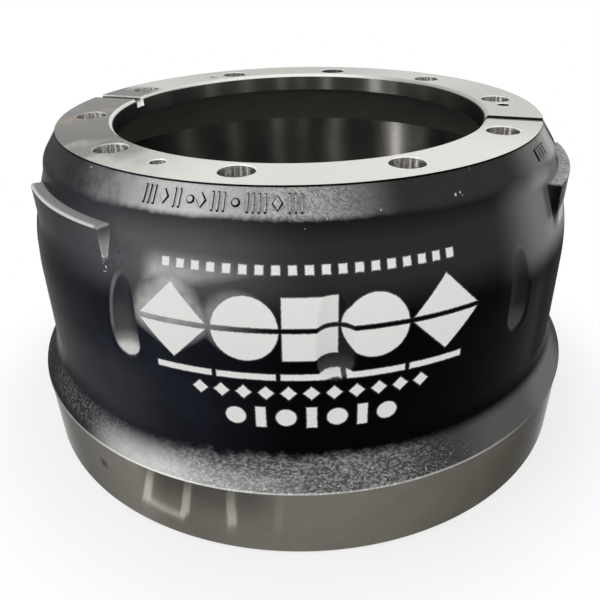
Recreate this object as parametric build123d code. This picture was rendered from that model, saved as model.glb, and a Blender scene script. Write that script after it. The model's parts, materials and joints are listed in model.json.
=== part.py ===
from build123d import *
import os
from math import acos, hypot, tan

# Cast-iron brake drum of a heavy road vehicle: one casting, turned on the faces that seat and rub.
# It stands on the rim of its open end. The origin is on the axis at that rim, +Z runs up the axis
# to the mounting face. Sizes are millimetres. A depth is measured down from the mounting face.

# Whole drum
drum_height = 252.0
friction_diameter = 410.0

# Mounting flange, at the top
pilot_bore_diameter = 297.5
pilot_bore_chamfer = 2.6
pilot_to_stud_circle = 18.75
stud_circle_to_flange_edge = 23.5
flange_thickness = 15.4
flange_edge_step = 1.2

# Holes through the flange
stud_count = 10
stud_hole_diameter = 23.0
stud_hole_chamfer = 0.8
first_stud_angle = -102.9
screw_hole_diameter = 10.2
screw_hole_chamfer = 0.7
screw_angles = (-121.9, -2.3, 121.0)

# Two grooves across the flange, in one line through the axis
groove_angle = -18.2
groove_width = 11.3
groove_depth = 2.4
groove_shoulder_depth = 1.4
groove_mouth_bevel = 5.0

# Shoulder and neck, between the flange and the wall
shoulder_run = 12.3
shoulder_drop = 18.5
neck_run = 1.3
neck_height = 8.5
swell_height = 43.7
shoulder_round = 4.0
neck_round = 4.0
swell_round = 25.0

# Wall around the friction face, flare and rim of the open end
wall_thickness = 15.8
wall_draft = 1.9
flare_height = 26.8
flare_round = 9.0
rim_thickness = 31.3
rim_height = 58.2
rim_step = 0.6
rim_chamfer = 2.0
mouth_chamfer_run = 4.0
mouth_chamfer_height = 6.0

# Inside of the crown, between the pilot bore and the friction face
underside_fall = 7.6
crown_wall = 13.3
crown_height = 35.0
crown_round = 8.0

# Three lugs standing out of the shoulder
lug_count = 3
first_lug_angle = -19.3
lug_span = 30.0
lug_top_depth = 29.0
lug_stand_in = 5.8
lug_root = 3.0
lug_foot_cover = 2.0

# Pockets cast into the wall, one midway between each two stud holes
pocket_core_radius = 13.0
pocket_core_height = 54.0
pocket_ball_depth = 101.5
pocket_sink = 7.8

# What follows from the sizes above
friction_radius = friction_diameter / 2
pilot_radius = pilot_bore_diameter / 2
stud_circle_radius = pilot_radius + pilot_to_stud_circle
flange_radius = stud_circle_radius + stud_circle_to_flange_edge
shoulder_radius = flange_radius + shoulder_run
neck_radius = shoulder_radius + neck_run
swell_radius = friction_radius + wall_thickness
flare_root_radius = swell_radius + wall_draft
rim_radius = friction_radius + rim_thickness
neck_depth = shoulder_drop + neck_height
swell_depth = neck_depth + swell_height
rim_depth = drum_height - rim_height
flare_root_depth = rim_depth - flare_height
crown_corner_depth = flange_thickness + underside_fall
friction_depth = crown_corner_depth + crown_height
stud_pitch = 360 / stud_count
lug_radius = swell_radius - lug_stand_in
clear = 5.0

# The outer face from the flange edge down to the rim: radius, depth and the run that rounds each corner
outer_corners = [
    (flange_radius, flange_edge_step, 0),
    (shoulder_radius, shoulder_drop, shoulder_round),
    (neck_radius, neck_depth, neck_round),
    (swell_radius, swell_depth, swell_round),
    (flare_root_radius, flare_root_depth, flare_round),
    (rim_radius + rim_step, rim_depth, 0),
]


def outer_radius(depth):
    """Radius of the outer face at a depth, with its corners left sharp."""
    for (r1, d1, _), (r2, d2, _) in zip(outer_corners, outer_corners[1:]):
        if depth <= d2:
            return r1 + (r2 - r1) * (depth - d1) / (d2 - d1)
    return rim_radius


def corner_radius(before, corner, after, run):
    """Radius of the arc that leaves each leg of a corner at the given run from it."""
    a = (before[0] - corner[0], before[1] - corner[1])
    b = (after[0] - corner[0], after[1] - corner[1])
    cosine = (a[0] * b[0] + a[1] * b[1]) / (hypot(*a) * hypot(*b))
    return run * tan(acos(max(-1, min(1, cosine))) / 2)


def half_section():
    """Half of the drum's section in the XZ plane: the outer face down, the rim, the inside up."""
    corners = [(pilot_radius + pilot_bore_chamfer, 0, 0), (flange_radius, 0, 0)]
    corners += outer_corners
    corners += [
        (rim_radius, rim_depth, 0),
        (rim_radius, drum_height - rim_chamfer, 0),
        (rim_radius - rim_chamfer, drum_height, 0),
        (friction_radius + mouth_chamfer_run, drum_height, 0),
        (friction_radius, drum_height - mouth_chamfer_height, 0),
        (friction_radius, friction_depth, 0),
        (shoulder_radius - crown_wall, crown_corner_depth, crown_round),
        (pilot_radius, flange_thickness, 0),
        (pilot_radius, pilot_bore_chamfer, 0),
    ]
    radii = [
        corner_radius(corners[i - 1], corners[i], corners[(i + 1) % len(corners)], corners[i][2])
        for i in range(len(corners))
    ]
    points = [(r, 0, drum_height - depth) for r, depth, _ in corners]
    return make_face(FilletPolyline(*points, radius=radii, close=True))


def turned(part, angle):
    """The part turned about the drum's axis."""
    return Rot(0, 0, angle) * part


def lug():
    """A pad with a flat top, its foot running out where the wall swells as far as the pad."""
    foot_depth = swell_depth
    section = make_face(
        Polyline(
            (outer_radius(lug_top_depth) - lug_root, 0, drum_height - lug_top_depth),
            (lug_radius, 0, drum_height - lug_top_depth),
            (lug_radius, 0, drum_height - foot_depth),
            (lug_radius - lug_foot_cover, 0, drum_height - foot_depth),
            close=True,
        )
    )
    return Rot(0, 0, -lug_span / 2) * revolve(section, Axis.Z, lug_span)


def chamfered_hole(diameter, chamfer_size):
    """Cutter for a hole through the flange, with a chamfer at the mounting face."""
    radius = diameter / 2
    length = crown_corner_depth + clear
    section = make_face(
        Polyline(
            (0, 0, clear),
            (radius + chamfer_size + clear, 0, clear),
            (radius, 0, -chamfer_size),
            (radius, 0, -length),
            (0, 0, -length),
            close=True,
        )
    )
    return revolve(section, Axis.Z)


def flange_holes():
    """The stud holes and the smaller screw holes, on one circle."""
    stud = Pos(stud_circle_radius, 0, drum_height) * chamfered_hole(stud_hole_diameter, stud_hole_chamfer)
    screw = Pos(stud_circle_radius, 0, drum_height) * chamfered_hole(screw_hole_diameter, screw_hole_chamfer)
    studs = [turned(stud, first_stud_angle + stud_pitch * i) for i in range(stud_count)]
    screws = [turned(screw, angle) for angle in screw_angles]
    return studs + screws


def groove():
    """Cutter for one groove: across the flange face, then a shallow channel down the shoulder."""
    start = pilot_radius - clear
    end_radius = outer_radius(lug_top_depth)
    section = make_face(
        Polyline(
            (start, 0, drum_height + clear),
            (start, 0, drum_height - groove_depth - groove_mouth_bevel - clear),
            (pilot_radius + groove_mouth_bevel, 0, drum_height - groove_depth),
            (flange_radius, 0, drum_height - groove_depth),
            (shoulder_radius - groove_shoulder_depth, 0, drum_height - shoulder_drop),
            (end_radius - groove_shoulder_depth, 0, drum_height - lug_top_depth),
            (end_radius + clear, 0, drum_height - lug_top_depth),
            (end_radius + clear, 0, drum_height + clear),
            close=True,
        )
    )
    return extrude(section, groove_width / 2, both=True)


def pocket():
    """Cutter for one pocket: an upright round core with a ball end, biting into the swelling wall."""
    axis_radius = outer_radius(pocket_ball_depth) + pocket_core_radius - pocket_sink
    core = Cylinder(pocket_core_radius, pocket_core_height, align=(Align.CENTER, Align.CENTER, Align.MIN))
    return Pos(axis_radius, 0, drum_height - pocket_ball_depth) * (core + Sphere(pocket_core_radius))


def brake_drum():
    """The whole casting: turned shell, lugs on it, then each kind of cut in turn."""
    casting = revolve(half_section(), Axis.Z)
    casting += [turned(lug(), first_lug_angle + 360 / lug_count * i) for i in range(lug_count)]
    casting -= [turned(pocket(), first_stud_angle + stud_pitch * (i + 0.5)) for i in range(stud_count)]
    casting -= [turned(groove(), groove_angle + 180 * i) for i in range(2)]
    casting -= flange_holes()
    return casting


os.makedirs("parts", exist_ok=True)
export_step(brake_drum(), "parts/brake_drum.step")
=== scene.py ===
import json
from math import ceil, cos, degrees, hypot, pi, radians, sin, sqrt, tan

import bmesh
import bpy
from mathutils import Matrix, Vector, noise


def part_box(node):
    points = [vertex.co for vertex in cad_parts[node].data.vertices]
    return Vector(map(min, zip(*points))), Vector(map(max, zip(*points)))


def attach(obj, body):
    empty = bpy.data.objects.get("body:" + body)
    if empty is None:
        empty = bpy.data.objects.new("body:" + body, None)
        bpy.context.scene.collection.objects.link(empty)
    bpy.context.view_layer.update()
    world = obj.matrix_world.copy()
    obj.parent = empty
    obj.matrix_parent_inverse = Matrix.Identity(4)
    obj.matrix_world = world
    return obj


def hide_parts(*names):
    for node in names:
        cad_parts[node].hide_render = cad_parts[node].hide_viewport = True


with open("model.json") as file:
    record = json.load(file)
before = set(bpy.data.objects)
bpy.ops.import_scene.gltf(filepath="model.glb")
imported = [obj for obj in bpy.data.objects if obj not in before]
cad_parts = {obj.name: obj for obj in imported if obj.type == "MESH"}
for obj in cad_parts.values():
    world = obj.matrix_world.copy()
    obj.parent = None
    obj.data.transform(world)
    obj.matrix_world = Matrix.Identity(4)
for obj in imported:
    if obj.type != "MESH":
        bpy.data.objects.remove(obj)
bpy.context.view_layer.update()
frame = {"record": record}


# ------------
# The raw casting, one piece of grey iron: crown and mounting flange on top, a neck, the wall round
# the friction face, a flare and a thick rim at the open end. It is poured in a sand mould, whose
# cores leave ten pockets and three lugs on the outside. A depth is measured down from the top face.

mm = 0.001
mounts = {mount["name"]: mount for mount in frame["record"]["mounts"]}
drum_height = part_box("brake_drum")[1].z
pilot_radius = mounts["pilot_bore"]["dims"]["r_mm"] * mm
friction_radius = mounts["friction_bore"]["dims"]["r_mm"] * mm
stud_circle_radius = mounts["stud_holes"]["dims"]["pcd_mm"] / 2 * mm
stud_count = mounts["stud_holes"]["dims"]["count"]
stud_pitch = 2 * pi / stud_count
first_stud_angle = radians(-102.9)

flange_radius = stud_circle_radius + 23.5 * mm
flange_edge_step = 1.2 * mm
flange_thickness = 15.4 * mm
pilot_bore_chamfer = 2.6 * mm
edge_break = 0.4 * mm
shoulder_radius = flange_radius + 12.3 * mm
shoulder_depth = 18.5 * mm
neck_radius = shoulder_radius + 1.3 * mm
neck_depth = shoulder_depth + 8.5 * mm
swell_radius = friction_radius + 15.8 * mm
swell_depth = neck_depth + 43.7 * mm
rim_radius = friction_radius + 31.3 * mm
rim_step = 0.6 * mm
rim_chamfer = 2.0 * mm
rim_depth = drum_height - 58.2 * mm
flare_root_radius = swell_radius + 1.9 * mm
flare_root_depth = rim_depth - 26.8 * mm
mouth_chamfer_run = 4.0 * mm
mouth_chamfer_height = 6.0 * mm
crown_corner_radius = shoulder_radius - 13.3 * mm
crown_corner_depth = flange_thickness + 7.6 * mm
friction_depth = crown_corner_depth + 35.0 * mm


def rounded(corners, segments=6):
    """Points of a line through corners of (radius, depth, run), an arc of that run at each of them."""
    points = [Vector(corners[0][:2])]
    for before, corner, after in zip(corners, corners[1:], corners[2:]):
        here, run = Vector(corner[:2]), corner[2]
        if run == 0:
            points.append(here)
            continue
        back = (Vector(before[:2]) - here).normalized()
        ahead = (Vector(after[:2]) - here).normalized()
        half_angle = back.angle(ahead) / 2
        arc_radius = run * tan(half_angle)
        centre = here + (back + ahead).normalized() * (arc_radius / sin(half_angle))
        start, end = here + back * run - centre, here + ahead * run - centre
        turn = start.angle(end)
        for step in range(segments + 1):
            share = step / segments
            arm = (start * sin((1 - share) * turn) + end * sin(share * turn)) / sin(turn)
            points.append(centre + arm)
    return points + [Vector(corners[-1][:2])]


def evenly(start, end, spacing):
    """Values from start up to but not including end, at most the spacing apart."""
    count = max(1, ceil((end - start) / spacing - 1e-6))
    return [start + (end - start) * step / count for step in range(count)]


cast_outside = rounded([
    (flange_radius, flange_edge_step, 0),
    (shoulder_radius, shoulder_depth, 4 * mm),
    (neck_radius, neck_depth, 4 * mm),
    (swell_radius, swell_depth, 25 * mm),
    (flare_root_radius, flare_root_depth, 9 * mm),
    (rim_radius + rim_step, rim_depth, 0),
], segments=12)


def cast_radius(depth):
    """Radius of the plain cast outside at a depth."""
    for upper, lower in zip(cast_outside, cast_outside[1:]):
        if depth <= lower.y:
            return upper.x + (lower.x - upper.x) * (depth - upper.y) / (lower.y - upper.y)
    return cast_outside[-1].x


def smooth_max(a, b, blend):
    """The larger of two sizes, with the crease between them filled over the blend."""
    share = max(0, 1 - abs(a - b) / blend)
    return max(a, b) + share * share * blend / 4


# Lugs: the top of each is flat, its foot runs out where the wall swells as far as the lug stands
lug_count = 3
first_lug_angle = radians(-19.3)
lug_half_span = radians(15)
lug_top_depth = 29.0 * mm
lug_radius = swell_radius - 5.8 * mm
lug_end_draft = radians(0.4)
lug_foot_blend = 1.5 * mm
lug_top_from, lug_top_to = lug_top_depth - 1.2 * mm, lug_top_depth + 2.2 * mm
lug_root = cast_radius(lug_top_depth)
lug_top = rounded([
    (cast_radius(lug_top_from), lug_top_from, 0),
    (lug_root, lug_top_depth, 0.9 * mm),
    (lug_root + (lug_radius - lug_root) * 0.4, lug_top_depth, 0),
    (lug_root + (lug_radius - lug_root) * 0.65, lug_top_depth, 0),
    (lug_radius, lug_top_depth, 1.3 * mm),
    (lug_radius, lug_top_to, 0),
], segments=4)

# Pockets: an upright round core with a ball end bites into the wall midway between two stud holes
pocket_core_radius = 13.0 * mm
pocket_top_depth = 47.5 * mm
pocket_ball_depth = 101.5 * mm
pocket_axis_radius = cast_radius(pocket_ball_depth) + pocket_core_radius - 7.8 * mm
pocket_half_width = radians(3.7)
pocket_edge_round = 0.9 * mm


def pocket_radius(offset, depth):
    """How far out the face of a pocket's core lies, at an angle from the core's middle."""
    below_ball = max(0, depth - pocket_ball_depth)
    sideways = pocket_axis_radius * sin(offset)
    reach = pocket_core_radius ** 2 - below_ball ** 2 - sideways ** 2
    if reach <= 0 or depth < pocket_top_depth:
        return 1
    return pocket_axis_radius * cos(offset) - sqrt(reach)


def cast_rows():
    """Rows of the cast outside, top to bottom: (point of the plain wall, point on a lug)."""
    pockets_from = pocket_top_depth - 1.5 * mm
    pockets_to = pocket_ball_depth + pocket_core_radius + 1.5 * mm
    flare_from = flare_root_depth - 15 * mm
    stretches = [
        (flange_edge_step, lug_top_from, 1.9 * mm),
        (lug_top_to, pockets_from, 2.6 * mm),
        (pockets_from, pockets_to, 1.7 * mm),
        (pockets_to, flare_from, 4.1 * mm),
        (flare_from, rim_depth, 2.0 * mm),
    ]
    rows = []
    for start, end, spacing in stretches:
        for depth in evenly(start, end, spacing):
            plain = Vector((cast_radius(depth), depth))
            on_lug = plain.copy()
            if depth >= lug_top_to and plain.x < lug_radius + 1 * mm:
                on_lug.x = smooth_max(plain.x, lug_radius, lug_foot_blend)
            rows.append((plain, on_lug))
        if end == lug_top_from:
            for step, on_lug in enumerate(lug_top[:-1]):
                depth = lug_top_from + (lug_top_to - lug_top_from) * step / (len(lug_top) - 1)
                rows.append((Vector((cast_radius(depth), depth)), on_lug))
    rows.append((cast_outside[-1], cast_outside[-1]))
    return rows


def lug_share(angle):
    """1 where a column stands on a lug, 0 beside it, and between on the drafted end face."""
    pitch = 2 * pi / lug_count
    offset = abs((angle - first_lug_angle + pitch / 2) % pitch - pitch / 2)
    share = min(1, max(0, (lug_half_span - offset) / lug_end_draft))
    return share * share * (3 - 2 * share)


def pocket_offset(angle):
    """Angle from the middle of the nearest pocket."""
    return (angle - first_stud_angle) % stud_pitch - stud_pitch / 2


def column_angles():
    """Angles of the mesh's columns: close together at the pockets and at the ends of the lugs."""
    fine = {}
    start = first_stud_angle
    for index in range(stud_count):
        middle = (stud_pitch * (index + 0.5)) % (2 * pi)
        fine[middle - pocket_half_width, middle + pocket_half_width] = radians(0.26)
    for index in range(lug_count):
        middle = first_lug_angle - start + 2 * pi / lug_count * index
        for side in (-1, 1):
            outer = (middle + side * lug_half_span) % (2 * pi)
            inner = outer - side * lug_end_draft
            fine[min(outer, inner), max(outer, inner)] = lug_end_draft / 8
    breaks = sorted({0.0, 2 * pi, *(edge for span in fine for edge in span)})
    angles = []
    for low, high in zip(breaks, breaks[1:]):
        middle = (low + high) / 2
        spacing = min([radians(0.9)] + [fine[span] for span in fine if span[0] < middle < span[1]])
        angles += [start + angle for angle in evenly(low, high, spacing)]
    return angles


turned_iron, cast_iron, crown_iron, drilled_iron, cored_iron, edge_iron = 0, 1, 2, 3, 4, 5
cast = cast_rows()
rim_and_inside = [
    (rim_radius, rim_depth, turned_iron),
    (rim_radius, drum_height - rim_chamfer, turned_iron),
    (rim_radius - rim_chamfer, drum_height, turned_iron),
    (friction_radius + mouth_chamfer_run, drum_height, turned_iron),
    (friction_radius, drum_height - mouth_chamfer_height, turned_iron),
    (friction_radius, friction_depth, crown_iron),
]
crown_inside = rounded([
    (friction_radius, friction_depth, 0),
    (crown_corner_radius, crown_corner_depth, 8 * mm),
    (pilot_radius, flange_thickness, 0),
])[1:-1]
bore_and_face = [
    (pilot_radius, flange_thickness, turned_iron),
    (pilot_radius, pilot_bore_chamfer, edge_iron),
    (pilot_radius + pilot_bore_chamfer, 0, turned_iron),
    (flange_radius - edge_break, 0, cast_iron),
    (flange_radius, edge_break, cast_iron),
]
turned_sections = rim_and_inside + [(*point, crown_iron) for point in crown_inside] + bore_and_face
section = [(plain, on_lug, cast_iron) for plain, on_lug in cast]
section[-1] = (*section[-1][:2], turned_iron)
section += [(Vector((r, d)), Vector((r, d)), zone) for r, d, zone in turned_sections]
angles = column_angles()
rough_shoulder_depth = 22 * mm
rough_flare_depth = flare_root_depth - 5 * mm


def sunk(angle, depth):
    """How far the cast skin lies below its true size: sand never gives an even face."""
    if depth > rim_depth - 1 * mm:
        return 0
    spot = Vector((swell_radius * cos(angle), swell_radius * sin(angle), depth))
    broad = noise.noise(spot * 17)
    fine = noise.noise(spot * 130)
    rough = max(0, 1 - depth / rough_shoulder_depth) + max(0, depth - rough_flare_depth) / (30 * mm)
    return (0.2 + 0.2 * broad + min(1, rough) * (0.12 + 0.2 * fine)) * mm


def place_object(name, data):
    """Puts a new object into the scene."""
    made = bpy.data.objects.new(name, data)
    bpy.context.scene.collection.objects.link(made)
    return made


casting = bmesh.new()
rings = []
in_pocket = set()
for column, angle in enumerate(angles):
    on_lug_share = lug_share(angle)
    offset = pocket_offset(angle)
    ring = []
    for index, (plain, on_lug, zone) in enumerate(section):
        point = plain.lerp(on_lug, on_lug_share)
        radius = point.x
        if index < len(cast):
            core = pocket_radius(offset, point.y)
            if core < radius - 0.3 * mm:
                in_pocket.add((column, index))
            radius = -smooth_max(-radius, -core, pocket_edge_round) - sunk(angle, point.y)
        spot = (radius * cos(angle), radius * sin(angle), drum_height - point.y)
        ring.append(casting.verts.new(spot))
    rings.append(ring)
for column, (ring, following) in enumerate(zip(rings, rings[1:] + rings[:1])):
    for index in range(len(section)):
        below = (index + 1) % len(section)
        face = casting.faces.new((ring[index], ring[below], following[below], following[index]))
        face.material_index = cored_iron if (column, index) in in_pocket else section[index][2]
        face.smooth = True
bmesh.ops.recalc_face_normals(casting, faces=casting.faces)
drum_mesh = bpy.data.meshes.new("brake_drum_casting")
casting.to_mesh(drum_mesh)
casting.free()
drum = place_object("brake_drum_casting", drum_mesh)


# ------------
# What is cut on the machines after casting: ten stud holes and three screw holes drilled through
# the flange, and two grooves milled across it in one line. Each groove runs on down the shoulder
# as a shallow channel that ends level with the tops of the lugs.

stud_hole_radius = mounts["stud_holes"]["dims"]["hole_r_mm"] * mm
stud_hole_chamfer = 0.8 * mm
screw_holes = [mount for name, mount in mounts.items() if name.startswith("screw_hole")]
screw_hole_chamfer = 0.7 * mm
hole_sides = 48
groove_angle = radians(-18.2)
groove_half_width = 11.3 / 2 * mm
groove_depth = 2.4 * mm
groove_mouth_bevel = 5.0 * mm
channel_depth = 1.4 * mm
channel_end_radius = cast_radius(lug_top_depth)
milled_iron = 6
over = 3 * mm
cuts = bmesh.new()


def drill(radius, chamfer, x, y):
    """Adds the cutter of a hole through the flange, with its edge at the top face broken."""
    turns = [2 * pi * step / hole_sides for step in range(hole_sides)]
    rings = []
    for ring_radius, depth in (
        (radius + chamfer + over, -over), (radius, chamfer), (radius, crown_corner_depth + over),
    ):
        middle = Vector((x, y, drum_height - depth))
        rings.append([cuts.verts.new(middle + ring_radius * Vector((cos(a), sin(a), 0))) for a in turns])
    faces = [cuts.faces.new(rings[0]), cuts.faces.new(rings[-1][::-1])]
    for upper, lower in zip(rings, rings[1:]):
        for step in range(hole_sides):
            ahead = (step + 1) % hole_sides
            faces.append(cuts.faces.new((upper[step], lower[step], lower[ahead], upper[ahead])))
    for face in faces:
        face.material_index = drilled_iron
        face.smooth = True


def mill(line, angle):
    """Adds the cutter of a groove along an angle: a closed section of (radius, depth) points."""
    turn = Matrix.Rotation(angle, 4, "Z")
    near, far = [
        [cuts.verts.new(turn @ Vector((radius, side, drum_height - depth))) for radius, depth in line]
        for side in (-groove_half_width, groove_half_width)]
    faces = [cuts.faces.new(near), cuts.faces.new(far[::-1])]
    for step in range(len(line)):
        ahead = (step + 1) % len(line)
        faces.append(cuts.faces.new((near[ahead], near[step], far[step], far[ahead])))
    for face in faces:
        face.material_index = milled_iron


for index in range(stud_count):
    angle = first_stud_angle + stud_pitch * index
    x, y = stud_circle_radius * cos(angle), stud_circle_radius * sin(angle)
    drill(stud_hole_radius, stud_hole_chamfer, x, y)
for mount in screw_holes:
    drill(mount["dims"]["r_mm"] * mm, screw_hole_chamfer, *mount["pos_m"][:2])
for side in range(2):
    mill([
        (pilot_radius - over, -over),
        (pilot_radius - over, groove_depth + groove_mouth_bevel + over),
        (pilot_radius + groove_mouth_bevel, groove_depth),
        (flange_radius, groove_depth),
        (shoulder_radius - channel_depth, shoulder_depth),
        (channel_end_radius - channel_depth, lug_top_depth),
        (channel_end_radius + over, lug_top_depth),
        (channel_end_radius + over, -over),
    ], groove_angle + pi * side)


def reshape(piece, solids, operation):
    """Takes the solids off the piece, or joins them to it, as one closed mesh."""
    bmesh.ops.recalc_face_normals(solids, faces=solids.faces)
    mesh = bpy.data.meshes.new("machining")
    solids.to_mesh(mesh)
    solids.free()
    tool = place_object("machining", mesh)
    modifier = piece.modifiers.new("machining", "BOOLEAN")
    modifier.operation = operation
    modifier.solver = "EXACT"
    modifier.object = tool
    made = bpy.data.meshes.new_from_object(piece.evaluated_get(bpy.context.evaluated_depsgraph_get()))
    piece.modifiers.clear()
    old = piece.data
    piece.data = made
    bpy.data.meshes.remove(old)
    bpy.data.objects.remove(tool)


reshape(drum, cuts, "DIFFERENCE")


# ------------
# Marks cast on the shoulder: plain bars, diamonds and studs that stand up from it in one row at the
# front left, and a small plate with three bars at the right. They are part of the casting.

mark_height = 1.0 * mm
mark_root = 0.6 * mm
mark_draft = 1.3
mark_pitch = radians(0.99)
first_mark_angle = radians(-117.4)
mark_row_depth = 8.6 * mm
plate_angle = radians(-33.4)
plate_depth = 9 * mm
plate_height = 0.5 * mm
plate_bar_pitch = radians(1.6)
mark_side_iron = 7
shoulder_run = Vector((shoulder_radius - flange_radius, shoulder_depth - flange_edge_step))
shoulder_slope = shoulder_run.normalized()
bar = [(-0.5, -5), (0.5, -5), (0.5, 5), (-0.5, 5)]
diamond = [(0, -4), (2.4, 0), (0, 4), (-2.4, 0)]
stud = [(1.8 * cos(pi * step / 6), 1.8 * sin(pi * step / 6)) for step in range(12)]
plate = [(-10, -4), (10, -4), (10, 4), (-10, 4)]


def raise_mark(marks, outline, angle, depth, height=mark_height, scale=1.0):
    """Adds a flat-topped mark, its outline in millimetres across and down the shoulder."""
    across = Vector((-sin(angle), cos(angle), 0))
    outward = Vector((cos(angle), sin(angle), 0))
    downhill = outward * shoulder_slope.x - Vector((0, 0, shoulder_slope.y))
    normal = outward * shoulder_slope.y + Vector((0, 0, shoulder_slope.x))
    reach = (depth - flange_edge_step) / shoulder_run.y
    middle = outward * (flange_radius + shoulder_run.x * reach) + Vector((0, 0, drum_height - depth))
    top, root = [], []
    for x, y in outline:
        spot = Vector((x, y)) * scale
        foot = spot + spot.normalized() * mark_draft
        top.append(marks.verts.new(middle + (across * spot.x + downhill * spot.y) * mm + normal * height))
        root.append(marks.verts.new(middle + (across * foot.x + downhill * foot.y) * mm - normal * mark_root))
    marks.faces.new(top).material_index = cast_iron
    marks.faces.new(root[::-1]).material_index = mark_side_iron
    for step in range(len(outline)):
        ahead = (step + 1) % len(outline)
        side = marks.faces.new((top[step], root[step], root[ahead], top[ahead]))
        side.material_index = mark_side_iron


mark_row = "bbb d bb s d bbb s bbbb d bbb"
outlines = {"b": bar, "d": diamond, "s": stud}
row_and_plate = bmesh.new()
for index, letter in enumerate(mark_row):
    if letter in outlines:
        raise_mark(row_and_plate, outlines[letter], first_mark_angle + mark_pitch * index, mark_row_depth)
raise_mark(row_and_plate, plate, plate_angle, plate_depth, plate_height)
reshape(drum, row_and_plate, "UNION")
plate_bars = bmesh.new()
for step in (-1, 0, 1):
    raise_mark(plate_bars, bar, plate_angle + plate_bar_pitch * step, plate_depth, scale=0.6)
reshape(drum, plate_bars, "UNION")


# ------------
# Finishes: node maths written as plain arithmetic, and one material for each way of working the iron.

class Wire:
    """One output of a material's nodes. Arithmetic on wires adds Math nodes."""

    def __init__(self, tree, socket=None):
        self.tree = tree
        self.socket = socket

    def node(self, kind, settings=None, inputs=None, output=0):
        """Adds a node, sets it, fills its sockets with values or wires, and returns one output."""
        made = self.tree.nodes.new("ShaderNode" + kind)
        for name, value in (settings or {}).items():
            setattr(made, name, value)
        for name, value in (inputs or {}).items():
            if isinstance(value, Wire):
                self.tree.links.new(value.socket, made.inputs[name])
            else:
                made.inputs[name].default_value = value
        return Wire(self.tree, made.outputs[output])

    def math(self, operation, *values):
        return self.node("Math", {"operation": operation}, dict(enumerate((self, *values))))

    def __add__(self, other):
        return self.math("ADD", other)

    __radd__ = __add__

    def __mul__(self, other):
        return self.math("MULTIPLY", other)

    __rmul__ = __mul__

    def __sub__(self, other):
        return self.math("SUBTRACT", other)

    def __rsub__(self, other):
        return self.math("MULTIPLY_ADD", -1, other)

    def __abs__(self):
        return self.math("ABSOLUTE")

    def most(self, *others):
        """The highest of this wire and others."""
        highest = self
        for other in others:
            highest = highest.math("MAXIMUM", other)
        return highest

    def least(self, *others):
        """The lowest of this wire and others."""
        lowest = self
        for other in others:
            lowest = lowest.math("MINIMUM", other)
        return lowest

    def rises(self, low, high):
        """0 below low, 1 above high, and smooth between them."""
        inputs = {"Value": self, "From Min": low, "From Max": high}
        return self.node("MapRange", {"interpolation_type": "SMOOTHSTEP"}, inputs)

    def falls(self, low, high):
        """1 below low and 0 above high."""
        return 1 - self.rises(low, high)

    def within(self, low, high, edge):
        """1 between low and high, with soft edges as wide as edge."""
        return self.rises(low - edge / 2, low + edge / 2) * self.falls(high - edge / 2, high + edge / 2)


class Finish:
    """One material with its own Principled shader, and the places on the drum that patterns start from."""

    def __init__(self, name, constants):
        self.material = bpy.data.materials.new(name)
        self.material.use_nodes = True
        self.tree = self.material.node_tree
        self.shader = self.tree.nodes["Principled BSDF"]
        for socket, value in constants.items():
            self.shader.inputs[socket].default_value = value
        self.place = Wire(self.tree).node("TexCoord", output="Object")
        split = self.place.node("SeparateXYZ", inputs={"Vector": self.place})
        self.x, self.y, self.z = [Wire(self.tree, socket) for socket in split.socket.node.outputs]
        self.angle = self.y.math("ARCTAN2", self.x)
        self.radius = (self.x * self.x + self.y * self.y).math("SQRT")

    def side(self):
        """Angle round the drum in degrees: 0 is its right side and -90 its front."""
        return self.angle * (180 / pi)

    def below_face(self):
        """Depth below the mounting face in millimetres."""
        return (drum_height - self.z) * 1000

    def noise(self, scale, detail=3, roughness=0.55, stretch=(1, 1, 1), turn=(0, 0, 0)):
        """Cloudy pattern from 0 to 1 with features about 1 / scale metres across."""
        turned = self.place.node("Mapping", inputs={"Vector": self.place, "Rotation": turn})
        spot = self.place.node("Mapping", inputs={"Vector": turned, "Scale": stretch})
        inputs = {"Vector": spot, "Scale": scale, "Detail": detail, "Roughness": roughness}
        return self.place.node("TexNoise", {}, inputs)

    def lathe_rings(self):
        """Fine rings from 0 to 1 that differ with radius and height, and only slowly round the axis."""
        cut = self.place.node("CombineXYZ", inputs={
            "X": self.radius, "Y": self.z, "Z": self.angle * 0.004})
        return self.place.node("TexNoise", {}, {"Vector": cut, "Scale": 2600.0, "Detail": 2.0})

    def blend(self, share, colour, other):
        """The first colour, going over to the other as the share goes to 1."""
        first, second = [value if isinstance(value, Wire) else (*value, 1) for value in (colour, other)]
        return self.place.node("Mix", {"data_type": "RGBA"}, {0: share, 6: first, 7: second}, 2)

    def feed(self, sockets):
        """Links wires to the shader's sockets."""
        for socket, wire in sockets.items():
            self.tree.links.new(wire.socket, self.shader.inputs[socket])

    def bump(self, height, distance):
        """A Bump node over a height in the range 0 to 1 that stands for the distance in metres."""
        inputs = {"Height": height, "Distance": distance, "Strength": 1.0}
        return self.place.node("Bump", {}, inputs)


def disc_edge(across, down, centre, radius):
    """Distance out of the edge of a disc."""
    aside, below = across - centre[0], down - centre[1]
    return (aside * aside + below * below).math("SQRT") - radius


# ------------
# Bare turned iron: the mounting face, the bores and the rim are cut on a lathe, so their fine
# rings run round the axis and draw every reflection out across them.

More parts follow.
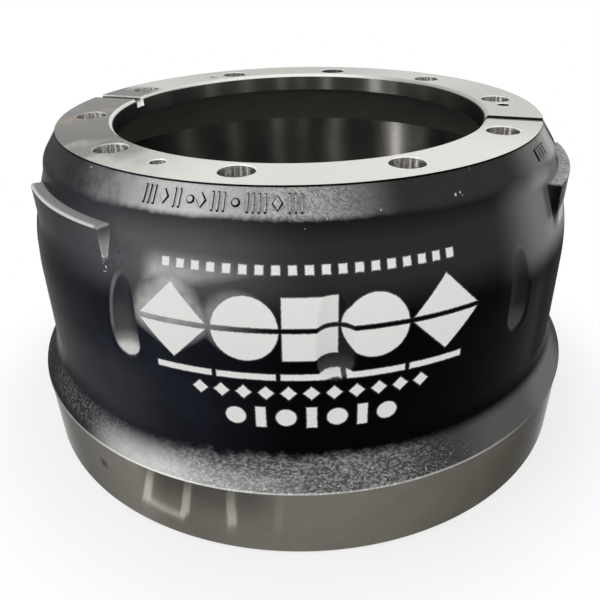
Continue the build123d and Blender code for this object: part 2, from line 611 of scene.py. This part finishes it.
def turned_finish(name, colour, shade, roughness, anisotropy, ring_height, edge_tint):
    """Metal cut on a lathe: fine rings and a little cloudiness between two colours, kept as its look."""
    finish = Finish(name, {
        "Metallic": 1.0, "Specular Tint": (edge_tint, edge_tint, edge_tint, 1),
        "Anisotropic": anisotropy, "Anisotropic Rotation": 0.25})
    rings = finish.lathe_rings()
    cloud = finish.noise(22, 4)
    smear = finish.noise(9, 3, stretch=(1, 1, 0.4))
    tone = (rings * 0.35 + cloud * 0.4 + smear * 0.25).rises(0.32, 0.68)
    finish.look = finish.blend(tone, shade, colour)
    finish.feed({
        "Base Color": finish.look,
        "Roughness": roughness * (1 + (cloud - 0.5) * 0.4 + (rings - 0.5) * 0.24),
        "Normal": finish.bump(rings, ring_height),
    })
    return finish


bore_finish = turned_finish(
    "turned_pilot_bore", (0.10, 0.098, 0.090), (0.065, 0.064, 0.058), 0.26, 1.0, 4e-6, 0.6)
friction_finish = turned_finish(
    "friction_face", (0.098, 0.095, 0.086), (0.064, 0.062, 0.056), 0.25, 1.0, 4e-6, 0.4)

# The rim has a painted reflection brightening its left, painted shadow below the flare, painted shade
# towards its right, and one small dark mark
rim_finish = turned_finish(
    "turned_rim", (0.196, 0.184, 0.159), (0.154, 0.144, 0.124), 0.13, 1.0, 4e-6, 0.4)
rim_side = rim_finish.side()
rim_depth_at = rim_finish.below_face()
flare_shadow = rim_side.within(-117, -96, 7) * rim_depth_at.falls(196, 232) * 0.62
small_mark = rim_side.within(-130.2, -128.4, 1.4) * rim_depth_at.within(212, 219, 5) * 0.6
shade_to_the_right = (rim_side.within(-78, -20, 40) * 0.24).most(rim_side.within(-43, 10, 16) * 0.62)
painted_reflection_left = rim_side.rises(-178, -146) * rim_side.falls(-121, -114) * 0.42
rim_look = rim_finish.blend(painted_reflection_left, rim_finish.look, (0.34, 0.33, 0.30))
shade_and_mark = flare_shadow.most(small_mark, shade_to_the_right)
rim_finish.feed({"Base Color": rim_finish.blend(shade_and_mark, rim_look, (0.030, 0.029, 0.027))})

# Oil smears and painted shade darken the left of the face beside the left groove, where a rust smear lies
# too; painted shade dulls the far side, its outer edge and the right
face_finish = turned_finish(
    "turned_mounting_face", (1.0, 0.985, 0.91), (0.92, 0.91, 0.86), 0.26, 0.4, 5e-6, 0.75)
face_side = face_finish.side()
from_right = abs(face_side)
oil_and_shade_left = face_side.rises(142, 160).most(face_side.falls(-141, -105))
wiped = face_finish.noise(26, 4, 0.6, stretch=(1, 0.45, 1)).rises(0.38, 0.62)
outer_edge = face_finish.radius.rises(flange_radius - 2.4 * mm, flange_radius - 1.2 * mm)
oil_and_painted_shade = oil_and_shade_left * (0.54 + 0.40 * wiped)
oil_and_painted_shade += from_right.rises(145, 160) * 0.50 + from_right.within(150, 172, 10) * 0.10
oil_and_painted_shade += face_side.within(62, 128, 30) * 0.16 + outer_edge * face_side.within(20, 160, 40) * 0.35
oil_and_painted_shade += face_side.within(-30, 172, 40) * 0.20 + face_side.within(-32, 24, 24) * 0.14
face_look = face_finish.blend(oil_and_painted_shade, face_finish.look, (0.165, 0.162, 0.145))
rust = from_right.within(166, 186, 10) * face_finish.noise(48, 3).rises(0.45, 0.68)
face_finish.feed({"Base Color": face_finish.blend(rust * 0.5, face_look, (0.42, 0.30, 0.17))})


# ------------
# Cut iron of the holes, edges and grooves: drilled walls, edges broken with a coarse tool, and
# milled floors. Light and shade are painted on them: pale walls and bright edges, black walls and dark holes.

# Black painted as shade in the holes and grooves
painted_shade_black = (0.004, 0.004, 0.004)


def left_of_drum(side):
    """1 round the left of the drum, where light and shade are painted on what is cut."""
    return side.falls(-150, -122).most(side.rises(135, 150))


# Holes at the left are painted pale as light, the far ones painted darker, and the screw hole at the right
# painted black as shade
drilled_finish = turned_finish(
    "drilled_walls", (0.46, 0.45, 0.42), (0.26, 0.25, 0.24), 0.27, 1.0, 8e-6, 0.5)
drilled_side = drilled_finish.side()
shaded_screw_hole = max(screw_holes, key=lambda mount: mount["pos_m"][0])
from_shaded_screw_hole = disc_edge(drilled_finish.x, drilled_finish.y, shaded_screw_hole["pos_m"], 0)
darkened_holes = (drilled_side.within(60, 112, 10) * 0.75).most(from_shaded_screw_hole.falls(6 * mm, 7 * mm) * 0.97)
painted_pale_left = left_of_drum(drilled_side) * 0.8
drilled_look = drilled_finish.blend(painted_pale_left, drilled_finish.look, (0.50, 0.49, 0.46))
drilled_finish.feed({"Base Color": drilled_finish.blend(darkened_holes, drilled_look, painted_shade_black)})

# Broken edges are cut iron painted near white as highlights, with painted shade at the right of the bore,
# round the left of the drum and at the foot of each, and a dark painted line at the bore's corner
edge_finish = Finish("broken_edges", {"Metallic": 0.3, "Roughness": 0.45})
edge_side = edge_finish.side()
on_bore = edge_finish.radius.falls(pilot_radius + 4 * mm, pilot_radius + 5 * mm)
low_edge = edge_finish.z.falls(drum_height - 0.6 * mm, drum_height - 0.4 * mm)
shaded_edges = left_of_drum(edge_side).most(low_edge) * 0.7 * (1 - on_bore)
edge_look = edge_finish.blend(edge_finish.noise(90, 3), (0.90, 0.89, 0.86), (0.96, 0.96, 0.94))
edge_look = edge_finish.blend(edge_side.within(-25, 62, 30) * on_bore * 0.6, edge_look, (0.25, 0.25, 0.24))
edge_look = edge_finish.blend(shaded_edges, edge_look, (0.22, 0.22, 0.21))
bore_corner_shade = edge_finish.radius.falls(pilot_radius + 0.5 * mm, pilot_radius + 0.8 * mm)
bore_corner_shade *= abs(edge_side - 90).rises(35, 60)
edge_finish.feed({"Base Color": edge_finish.blend(bore_corner_shade, edge_look, (0.01, 0.01, 0.01))})

# The left groove has painted highlights at its mouth and upper walls; the right one has walls painted black
# as shade and a floor painted paler as light
milled_finish = Finish("milled_grooves", {"Roughness": 0.4, "Specular Tint": (0.4, 0.4, 0.4, 1)})
on_left = milled_finish.x.falls(-0.02, 0.0)
on_wall = milled_finish.z.rises(drum_height - 2.2 * mm, drum_height - 1.8 * mm)
on_flange = milled_finish.radius.falls(flange_radius, flange_radius + 2 * mm)
lit_right_floor = (1 - on_left) * (1 - on_wall) * on_flange
left_mouth = milled_finish.radius.falls(pilot_radius + 2 * mm, pilot_radius + 5 * mm)
upper_wall = milled_finish.z.rises(drum_height - 1.4 * mm, drum_height - 1.0 * mm)
painted_highlight_left = left_mouth.most(upper_wall) * on_left
milled_look = milled_finish.blend(milled_finish.noise(160, 3), (0.08, 0.08, 0.075), (0.15, 0.15, 0.14))
milled_look = milled_finish.blend((1 - on_left) * on_wall * 0.9, milled_look, painted_shade_black)
milled_look = milled_finish.blend(lit_right_floor, milled_look, (0.30, 0.30, 0.28))
milled_finish.feed({
    "Base Color": milled_finish.blend(painted_highlight_left, milled_look, (0.95, 0.95, 0.93)),
    "Metallic": 1 - painted_highlight_left.most(lit_right_floor) * 0.7,
    "Normal": milled_finish.bump(milled_finish.noise(900, 2), 0.00005),
})


# ------------
# Satin black paint over the cast skin. It lies smooth on the wall and thin on the rough shoulder,
# lugs and flare, where the grain of the sand mould shows through as silver grey. Light and shade are
# painted into its tone: highlights on those bands, the lugs, pockets and wall, and shadow at the lug ends and
# in the pockets.

shoulder_foot = shoulder_depth / mm
lug_top_at = lug_top_depth / mm
pocket_top_at = pocket_top_depth / mm
pocket_ball_at = pocket_ball_depth / mm
flare_root = flare_root_depth / mm
rim_top = rim_depth / mm
left_lug_end = degrees(first_lug_angle - 2 * pi / lug_count + lug_half_span)
right_lug_end = degrees(first_lug_angle - lug_half_span)
left_pocket_side = degrees(first_stud_angle - stud_pitch / 2)
# Pale specks, part chip marks and part painted glints: angle in degrees, depth and size in millimetres
speck_places = [
    (-132.9, 3.0, 0.7), (-131.9, 4.8, 0.4), (-85.8, 16.2, 0.6), (-85.0, 15.2, 0.4), (-76.9, 14.0, 0.6),
    (-62.8, 12.6, 0.7), (-61.7, 12.0, 0.5), (-61.4, 13.6, 0.3), (-57.9, 1.9, 0.5), (-89.3, 20.8, 0.3),
]
# Patches of painted light: depths and sides with their soft edges, and strength
sheen_patches = [
    ((16, 72, 22), (-48, -20, 16), 0.17),
    ((120, 172, 30), (-152, -118, 16), 0.019),
    ((12, 26, 6), (-42, -33, 6), 0.09),
    ((50, 64, 8), (-39, -29, 6), 0.06),
]
stencil_side = -88.75
stencil_radius = swell_radius / mm


def box_edge(across, down, centre, half_wide, half_high):
    """Distance out of the edge of a rectangle, in millimetres, negative inside it."""
    return (abs(across - centre[0]) - half_wide).most(abs(down - centre[1]) - half_high)


def diamond_edge(across, down, centre, half):
    """Distance out of the edge of a square that stands on its corner."""
    return (abs(across - centre[0]) + abs(down - centre[1]) - half) * 0.707


def repeated(across, pitch):
    """Millimetres across, starting again from 0 at each pitch, with one repeat centred on the front."""
    return (across + pitch / 2).math("FLOORED_MODULO", pitch)


def stencilled(across, down):
    """Distance out of the sprayed shapes, in millimetres across from their middle and down the wall."""
    half = abs(across)
    squares = box_edge(repeated(across, 10), down, (5, 43), 2.6, 2.6).most(half - 95)
    diamonds = diamond_edge(half, down, (86, 78), 24.5)
    discs = disc_edge(half, down, (39.5, 78), 20.5)
    square = box_edge(across, down, (0, 78), 17, 20)
    bridge = 1.7 - abs(down - 78)
    big_row = diamonds.least(discs, square).most(bridge)
    line = box_edge(repeated(across, 40), down, (20, 110), 18.4, 2.2).most(half - 99)
    lozenges = diamond_edge(repeated(across, 14), down, (7, 122), 5).most(half - 77)
    dots = disc_edge((across + 32).math("FLOORED_MODULO", 32), down, (16, 141), 6.5)
    posts = box_edge(repeated(across, 32), down, (16, 141), 3.2, 8)
    last_row = dots.least(posts).most(half - 56)
    return squares.least(big_row, line, lozenges, last_row)


class Paint(Finish):
    """Black paint, with the places and the grains that its wear and painted light follow, in millimetres and
    degrees.
    """

    def __init__(self, name, specular_level):
        super().__init__(name, {"Specular IOR Level": specular_level, "Coat Roughness": 0.3})
        self.depth = self.below_face()
        self.stand_out = self.radius * 1000
        self.round = self.side()
        self.grain = self.noise(620, 3, 0.65)
        self.coarse = self.noise(430, 3, 0.6, stretch=(0.8, 0.8, 1.6))
        self.flecks = self.noise(760, 2, 0.5).rises(0.60, 0.68)
        self.lumps = self.noise(170, 3, 0.5)
        self.drift = self.noise(16, 3, 0.5)
        self.ragged = (self.lumps - 0.5) * 9 + (self.drift - 0.5) * 10

    def patch(self, depths, sides):
        """1 within a range of depths and a range of sides, each with the width of its soft edges."""
        return self.depth.within(*depths) * self.round.within(*sides)

    def thin_shoulder(self):
        """The rough band under the flange, and its tone: iron grain under painted light, brightest at the
        front left.
        """
        torn = self.round.within(-124, -72, 16)
        band = self.depth + self.ragged * torn * 0.35
        band = band.falls(shoulder_foot - 4.7, shoulder_foot + 4 - torn * 4.5) * self.depth.rises(1.0, 1.3)
        bare_and_lit = 0.034 + self.round.within(-170, -140, 20) * 0.012
        bare_and_lit += self.round.within(-126, -84, 24) * 0.41 + self.round.within(-117, -103, 12) * 0.20
        streaky = self.noise(90, 4, 0.6, stretch=(1, 1, 0.35)).rises(0.42, 0.62)
        bare_and_lit *= 1 - self.round.within(-142, -121, 10) * streaky * 0.36
        cracked = self.round.within(-98, -78.5, 12)
        # Painted light on the cracked stretch and at the right of the shoulder
        bare_and_lit += cracked * 0.10 + self.round.within(-42, -20, 14) * 0.165
        bare_and_lit += self.round.within(-31, -18, 7) * 0.20 + self.round.within(-27, -19.5, 1.6) * 0.11
        leather = self.noise(300, 2, 0.6, stretch=(0.7, 0.7, 1.7), turn=(0, -0.6, 0))
        cracks = 1 - cracked * 0.50 * abs(leather - 0.5).falls(0.0, 0.08)
        return band, bare_and_lit * cracks * (0.72 + 0.56 * self.grain)

    def thin_flare(self):
        """The rough band above the rim, and its tone: smooth painted light at the left and foot, painted
        glints at the front.
        """
        torn = self.round.within(-118, -74, 20)
        band = (self.depth + self.ragged * torn).rises(flare_root + 1, flare_root + 10)
        rough = self.coarse.rises(0.44, 0.60) * (0.5 + self.grain)
        painted_light_left = self.round.within(-127.5, -110, 14) * self.depth.rises(flare_root + 4, flare_root + 23)
        painted_light_foot = self.round.within(-114, -95, 18) * self.depth.rises(flare_root + 9, flare_root + 23)
        glints = self.flecks * self.depth.rises(flare_root + 1, flare_root + 19) * 0.38
        bare_and_lit = 0.022 + painted_light_left * 0.58 * (0.75 + 0.5 * self.lumps) + painted_light_foot * 0.24
        bare_and_lit += self.patch((flare_root + 3, flare_root + 21, 8), (-150, -124, 12)) * rough * 0.09
        bare_and_lit += self.round.within(-112, -70, 18) * (0.06 + 0.19 * rough)
        bare_and_lit += self.round.within(-112, -64, 18) * glints
        # Painted light at the right of the flare
        bare_and_lit += self.round.within(-62, -22, 16) * 0.085 + self.round.within(-42, -20, 8) * 0.07
        # A painted highlight along the top edge of the rim
        bare_and_lit += self.round.within(-150, -52, 24) * self.depth.rises(rim_top - 1.4, rim_top - 0.6) * 0.35
        return band, bare_and_lit

    def on_lug_top(self):
        """1 on the flat tops of the lugs."""
        return self.stand_out.rises(206.0, 206.8) * self.depth.within(lug_top_at - 1.6, lug_top_at + 1.4, 0.8)

    def lit_lugs(self):
        """Painted light on the lugs: paler tops, and on the left lug a painted highlight and a pale end
        facing the front.
        """
        right = self.round.within(-40, 0, 10) * (0.10 + 0.30 * self.coarse.rises(0.3, 0.7))
        left = self.round.falls(-100, -95)
        top = self.on_lug_top() * (0.12 + left * 0.16 + right) * (0.7 + 0.6 * self.grain)
        edge = self.stand_out.rises(212.2, 214.2) * self.depth.within(lug_top_at - 1, lug_top_at + 1.2, 0.6)
        edge *= 1 - self.round.within(left_lug_end - 1.3, -110, 0.6)
        end = self.depth.within(lug_top_at - 1, lug_top_at + 21, 4)
        end *= 0.08 + 0.32 * self.depth.rises(lug_top_at, lug_top_at + 15)
        end += self.depth.within(lug_top_at + 17, lug_top_at + 29, 2) * self.flecks
        end *= self.round.within(left_lug_end - 0.55, left_lug_end + 0.2, 0.1)
        return top + left * (edge * 0.4 + end)

    def painted_sheen(self):
        """Painted sheen under the shoulder, most at the front left, and patches of it, with scuffs beside the
        left lug.
        """
        painted_sheen = self.depth.within(20, 62, 30) * (self.round.within(-128, -98, 24) * 0.072 + 0.028)
        painted_sheen += self.patch((150, 172, 18), (-161, -149, 9)) * self.lumps.rises(0.2, 0.7) * 0.14
        for depths, sides, strength in sheen_patches:
            painted_sheen += self.patch(depths, sides) * strength
        scuffed = self.patch((38, 66, 12), (-134, -119, 6)) * self.coarse.rises(0.42, 0.66)
        return painted_sheen * (1 - scuffed * 0.6) + scuffed * self.grain * 0.05

    def behind_lug(self, tone):
        """A tone, with painted shadow on the right lug's end and front edge and beside it, and a painted
        highlight beyond.
        """
        end = self.round.rises(right_lug_end - 0.5, right_lug_end - 0.4) * self.stand_out.rises(205.2, 206)
        lug_end_shadow = end * self.depth.rises(lug_top_at + 0.3, lug_top_at + 0.9)
        lug_end_shadow *= self.round.falls(right_lug_end + 0.3, right_lug_end + 20.3) * self.depth.falls(46, 64)
        # Painted shade on the lug's rounded front edge and on the wall beside the lug
        front = self.round.within(right_lug_end - 0.7, right_lug_end + 0.6, 0.3) * self.on_lug_top() * 0.5
        beside = self.patch((28, 50, 6), (right_lug_end - 3.2, right_lug_end - 0.3, 2)) * 0.5
        tone *= 1 - lug_end_shadow.most(front, beside)
        tone += lug_end_shadow * (0.006 + 0.022 * self.stand_out.falls(206, 212))
        # A painted highlight on the wall just beyond the lug
        return tone + self.patch((48, 60, 5), (-31.6, -26, 1.2)) * 0.38

    def in_pockets(self, tone):
        """A tone: painted shade at the top of each pocket, painted light in its ball and at the left pocket's
        flank and edge.
        """
        neck_slope = (swell_radius - neck_radius) / (swell_depth - neck_depth)
        wall_slope = (flare_root_radius - swell_radius) / (flare_root_depth - swell_depth)
        bend_length = 48.4  # the neck's slope goes over to the wall's along an even bend
        from_bend = self.depth - (swell_depth / mm - bend_length / 2)
        bend = from_bend.most(0).least(bend_length)
        slowed = bend * bend * (0.5 / bend_length) + (from_bend - bend_length).most(0)
        wall = neck_radius / mm + (self.depth - neck_depth / mm) * neck_slope
        sunk_in = wall - slowed * (neck_slope - wall_slope) - self.stand_out
        pocket = sunk_in.rises(0.9, 2.4) * self.depth.rises(pocket_top_at - 3.5, pocket_top_at + 4.5)
        left = self.round.within(left_pocket_side - 6.1, left_pocket_side + 4.9, 0.5)
        flank = left * self.round.falls(left_pocket_side - 1.7, left_pocket_side + 1.3)
        pocket_light_and_shade = self.depth.rises(pocket_top_at + 12.5, pocket_ball_at - 5.5)
        pocket_light_and_shade *= 0.012 + left * 0.012 + flank * 0.05
        pocket_light_and_shade += self.depth.rises(pocket_ball_at - 5.5, pocket_ball_at + 6.5) * (0.045 + left * 0.20)
        pocket_light_and_shade += self.depth.rises(pocket_ball_at + 2.5, pocket_ball_at + 8.5) * left * 0.42
        # A painted highlight along the left pocket's edge
        pocket_edge_highlight = flank * sunk_in.within(0.8, 2.2, 0.6) * self.depth.within(58, 98, 16) * 0.15
        return tone * (1 - pocket * 0.6) + pocket * pocket_light_and_shade + pocket_edge_highlight

    def specks(self):
        """1 on pale specks, part chip marks and part painted glints: at an angle in degrees, a depth and size
        in millimetres.
        """
        shown = self.lumps * 0
        for at_angle, at_depth, size in speck_places:
            across = (self.round - at_angle) * (shoulder_radius / mm * pi / 180)
            edge = disc_edge(across, self.depth, (0, at_depth), 0) + (self.lumps - 0.5) * size * 2.5
            shown = shown.most(edge.falls(size * 0.7, size * 1.1))
        return shown

    def white_shapes(self):
        """Shapes sprayed through a stencil that stood off the wall at its upper left, with their fog."""
        across = (self.round - stencil_side) * (stencil_radius * pi / 180)
        shapes = stencilled(across, self.depth) + (self.grain - 0.5) * 1.2
        lifted = across.falls(-95, -20) * self.depth.falls(70, 100)
        fog = shapes.falls(0, 1.5 + lifted * 14) * (0.03 + lifted * 0.45)
        fog *= self.depth.rises(34, 50) * across.rises(-117, -108)
        return shapes.falls(-0.5, 0.5).most(fog * (0.5 + self.lumps)).least(1)


def painted(name, specular_level):
    """Black paint with painted light and shade, thin on the rough bands, and white shapes sprayed on the
    front of the wall.
    """
    paint = Paint(name, specular_level)
    shoulder_band, shoulder_tone = paint.thin_shoulder()
    flare_band, flare_tone = paint.thin_flare()
    tone = shoulder_band * shoulder_tone + flare_band * flare_tone
    tone = paint.in_pockets(paint.behind_lug(tone.most(paint.lit_lugs(), paint.painted_sheen())))
    unseen = paint.round.rises(-28, 30) * paint.round.falls(140, 172)
    blue_side = paint.round.within(-138, -102, 24) * (0.6 + 0.4 * paint.drift.rises(0.35, 0.65))
    black = paint.blend(unseen, (0.0012, 0.0012, 0.0012), (0.0045, 0.0045, 0.0045))
    black = paint.blend(blue_side, black, (0.0150, 0.0172, 0.0265))
    # The paint's tone, with its painted light and shade, pale specks and grain, over its black
    lit_and_toned = paint.blend(tone.most(paint.specks() * 0.5).least(1), black, (1.0, 1.0, 0.98))
    white = paint.white_shapes()
    rough_band = shoulder_band.most(flare_band)
    matt_side = paint.patch((70, 160, 10), (-40, -10, 6))
    height = paint.grain * (0.12 + rough_band * 0.88) + paint.coarse * rough_band * 0.8
    paint.feed({
        "Base Color": paint.blend(white, lit_and_toned, (0.88, 0.88, 0.86)),
        "Roughness": 0.34 + (paint.lumps - 0.5) * 0.08 + (rough_band + white + matt_side) * 0.2,
        "Normal": paint.bump(height, 0.0007),
        "Coat Weight": unseen * 0.35,
    })
    return paint


paint = painted("black_paint", 0.008)
pocket_paint = painted("pocket_paint", 0.06)

# The inside of the crown is cast too, and only primed; its back is painted lighter as light falling there
primer = Finish("dark_primer", {"Specular IOR Level": 0.3, "Roughness": 0.55})
primer_tone_and_light = primer.noise(60, 4) * 0.5 + primer.side().within(60, 120, 60) * 0.5
primer.feed({
    "Base Color": primer.blend(primer_tone_and_light, (0.063, 0.063, 0.054), (0.14, 0.14, 0.122)),
    "Normal": primer.bump(primer.noise(500, 3), 0.0001),
})

# The sides of the cast marks are painted nearly black as their shadows
thick_paint = Finish("thick_paint", {"Specular IOR Level": 0.01, "Roughness": 0.5})
mark_shadow_look = thick_paint.blend(thick_paint.noise(300, 3), (0.003, 0.003, 0.003), (0.02, 0.02, 0.02))
thick_paint.feed({"Base Color": mark_shadow_look})


# ------------
# The finished drum is one piece. Each face takes the finish of the way it was made, and an edge
# looks crisp where a tool cut it and soft where it was cast.

finished = (
    face_finish, paint, primer, drilled_finish, pocket_paint, edge_finish, milled_finish,
    thick_paint, bore_finish, rim_finish, friction_finish)
for finish in finished:
    drum.data.materials.append(finish.material)
bore_iron, rim_iron, friction_iron = [
    finished.index(finish) for finish in (bore_finish, rim_finish, friction_finish)]
cut_angle, cast_angle = radians(14), radians(50)
surface = bmesh.new()
surface.from_mesh(drum.data)
for face in surface.faces:
    middle = face.calc_center_median()
    radius = hypot(middle.x, middle.y)
    if face.material_index == drilled_iron and middle.z > drum_height - screw_hole_chamfer:
        face.material_index = edge_iron
    elif face.material_index == turned_iron:
        if middle.z < drum_height - rim_depth + 0.5 * mm and radius > friction_radius + 1 * mm:
            face.material_index = rim_iron
        elif abs(radius - friction_radius) < 2 * mm:
            face.material_index = friction_iron
        elif abs(radius - pilot_radius) < 0.5 * mm:
            face.material_index = bore_iron
for edge in surface.edges:
    both_cast = all(face.material_index in (cast_iron, cored_iron, crown_iron) for face in edge.link_faces)
    edge.smooth = edge.calc_face_angle() < (cast_angle if both_cast else cut_angle)
surface.to_mesh(drum.data)
surface.free()

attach(drum, "root")
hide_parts("brake_drum")


# ------------
# A pale floor that runs out to white, and a white room that metal shows in its reflections.

floor_mesh = bpy.data.meshes.new("floor")
reach = 14.0
corners = [(-reach, -reach, 0), (reach, -reach, 0), (reach, reach, 0), (-reach, reach, 0)]
floor_mesh.from_pydata(corners, [], [(0, 1, 2, 3)])
floor = place_object("floor", floor_mesh)


def seen_rays(tree):
    """1 for rays from the camera, and 1 for those mirrored by or passing through a surface."""
    outputs = Wire(tree).node("LightPath").socket.node.outputs
    camera_ray, glossy, through = [
        Wire(tree, outputs["Is %s Ray" % kind]) for kind in ("Camera", "Glossy", "Transmission")]
    return camera_ray, glossy.most(through)


floor_finish = Finish("pale_floor", {
    "Base Color": (0.85, 0.85, 0.85, 1), "Roughness": 1.0, "Specular IOR Level": 0.0})
glow = floor_finish.place.node("Emission", {}, {"Color": (1, 1, 1, 1), "Strength": 1.0})
lit = Wire(floor_finish.tree, floor_finish.shader.outputs[0])
outside = floor_finish.radius.rises(friction_radius, rim_radius)
open_floor = floor_finish.radius.rises(0.24, 0.34)
camera_ray, mirrored = seen_rays(floor_finish.tree)
share = camera_ray.most(mirrored) * (0.72 * outside + 0.28 * open_floor)
shown = glow.node("MixShader", {}, {0: share, 1: lit, 2: glow})
floor_finish.tree.links.new(shown.socket, floor_finish.tree.nodes["Material Output"].inputs["Surface"])
floor_mesh.materials.append(floor_finish.material)

world = bpy.data.worlds.new("white_room")
bpy.context.scene.world = world
world.use_nodes = True
room = Wire(world.node_tree)
background = world.node_tree.nodes["Background"]
background.inputs["Color"].default_value = (1, 1, 1, 1)
direction = room.node("TexCoord", output="Generated")
upward = room.node("SeparateXYZ", {}, {"Vector": direction}, "Z")
dark_from, dark_at, dark_to, pale_at = [sin(radians(elevation)) for elevation in (23.5, 39.5, 54, 68)]
dark_band = upward.rises(dark_from, dark_at) * upward.falls(dark_to, pale_at)
camera_ray, mirrored = seen_rays(world.node_tree)
level = camera_ray + mirrored * (1 - dark_band * 0.9) + (1 - camera_ray.most(mirrored)) * 0.7
world.node_tree.links.new(level.socket, background.inputs["Strength"])


def lamp(name, azimuth, elevation, distance, width, height, radiance, colour=(1, 1, 1), mirrored_only=True):
    """A soft lamp that faces the drum's top from an azimuth and an elevation in degrees."""
    data = bpy.data.lights.new(name, "AREA")
    data.shape = "RECTANGLE"
    data.size, data.size_y = width, height
    data.energy = radiance * pi * width * height
    data.color = colour
    made = place_object(name, data)
    round_room, up_room = radians(azimuth), radians(elevation)
    aim = Vector((0, 0, drum_height * 0.8))
    level_place = Vector((cos(round_room), sin(round_room), 0)) * cos(up_room)
    made.location = aim + distance * (level_place + Vector((0, 0, sin(up_room))))
    made.rotation_euler = (made.location - aim).to_track_quat("Z", "Y").to_euler()
    made.visible_camera = False
    made.visible_diffuse = not mirrored_only
    return made


lamp("room_left", -150, 45, 2.0, 1.0, 1.0, 2.2, mirrored_only=False)
lamp("room_right", -30, 50, 2.0, 1.0, 1.0, 1.2, mirrored_only=False)
lamp("panel_left", 178, 6, 1.9, 0.9, 0.4, 2.0)
lamp("panel_right", 22, 6, 1.9, 0.8, 0.5, 1.4)
warm_white = (1, 0.99, 0.98)
for azimuth, elevation, width, height, radiance in (
    (-19, 36, 0.04, 0.7, 60),
    (-49, 36, 0.03, 0.7, 60),
    (-77, 36, 0.04, 0.7, 50),
    (-93, 36, 0.05, 0.7, 20),
    (-113, 36, 0.05, 0.7, 90),
    (-154, 36, 0.05, 0.7, 135),
    (-167, 30, 0.05, 0.5, 60),
):
    lamp("strip_%d" % -azimuth, azimuth, elevation, 1.7, width, height, radiance, warm_white)

# The camera looks down on the drum from close by, so that its mouth and rim spread in perspective
camera_data = bpy.data.cameras.new("camera")
camera_data.sensor_width = 36.0
camera_data.lens = 36.405
camera = place_object("camera", camera_data)
pitch, yaw, roll = radians(30.216), radians(-0.204), radians(-1.226)
ahead = Vector((sin(yaw) * cos(pitch), cos(yaw) * cos(pitch), -sin(pitch)))
right = ahead.cross(Vector((0, 0, 1))).normalized()
up = right.cross(ahead)
axes = Matrix((cos(roll) * right + sin(roll) * up, cos(roll) * up - sin(roll) * right, -ahead)).transposed()
camera_place = Vector((0, -0.51341, drum_height + 0.11422))
camera.matrix_world = Matrix.Translation(camera_place) @ axes.to_4x4()
bpy.context.scene.camera = camera

# Thin lamps that only turned metal mirrors, each laid where a round wall mirrors the camera's view:
# flat on the floor for the rim, and standing inside the drum for the friction face and the bore
strip_width = 8 * mm
above_floor = 2 * mm
rim_top_height, rim_middle_height, rim_foot_height = 56 * mm, 40 * mm, 24 * mm


def streak(name, radius, ends, width, radiance, distance=None):
    """A lamp whose image in a round wall lies between two spots of (angle in degrees, height).

    It lies on the floor, or stands at a distance from the wall."""
    spots = []
    for angle, height in ends:
        outward = Vector((cos(radians(angle)), sin(radians(angle)), 0))
        point = outward * radius + Vector((0, 0, height))
        mirrored_view = (point - camera_place).reflect(outward).normalized()
        spots.append(point + mirrored_view * (distance or (above_floor - height) / mirrored_view.z))
    along = (spots[1] - spots[0]).normalized()
    back = mirrored_view if distance else Vector((0, 0, -1))
    back = (back - along * back.dot(along)).normalized()
    strip = lamp(name, 0, 0, 1, width, (spots[1] - spots[0]).length, radiance)
    turn = Matrix((along.cross(back), along, back)).transposed()
    strip.matrix_world = Matrix.Translation((spots[0] + spots[1]) / 2) @ turn.to_4x4()


for number, top_angle, foot_angle, radiance in (
    (1, -116.9, -119.0, 1.6),
    (2, -109.6, -111.1, 1.9),
    (3, -102.2, -102.3, 1.7),
    (4, -94.2, -94.6, 0.18),
):
    top, foot = (top_angle, rim_top_height), (foot_angle, rim_foot_height)
    middle = ((top_angle + foot_angle) / 2, rim_middle_height)
    streak("floor_strip_%d_top" % number, rim_radius, [top, middle], strip_width, radiance)
    streak("floor_strip_%d_whole" % number, rim_radius, [top, foot], strip_width, radiance)
streak("floor_strip_across", rim_radius, [(-119.0, 26 * mm), (-111.1, 21 * mm)], 3 * mm, 2.8)
streak("friction_strip", friction_radius, [(58.0, 210 * mm), (56.3, 120 * mm)], 9 * mm, 20, 0.3)
streak("bore_strip", pilot_radius, [(59.4, 252 * mm), (59.2, 236 * mm)], 9 * mm, 20, 0.25)
streak("bore_panel", pilot_radius, [(52.6, 252 * mm), (52.4, 236 * mm)], 36 * mm, 3.2, 0.25)
bpy.context.scene.view_settings.view_transform = "Standard"
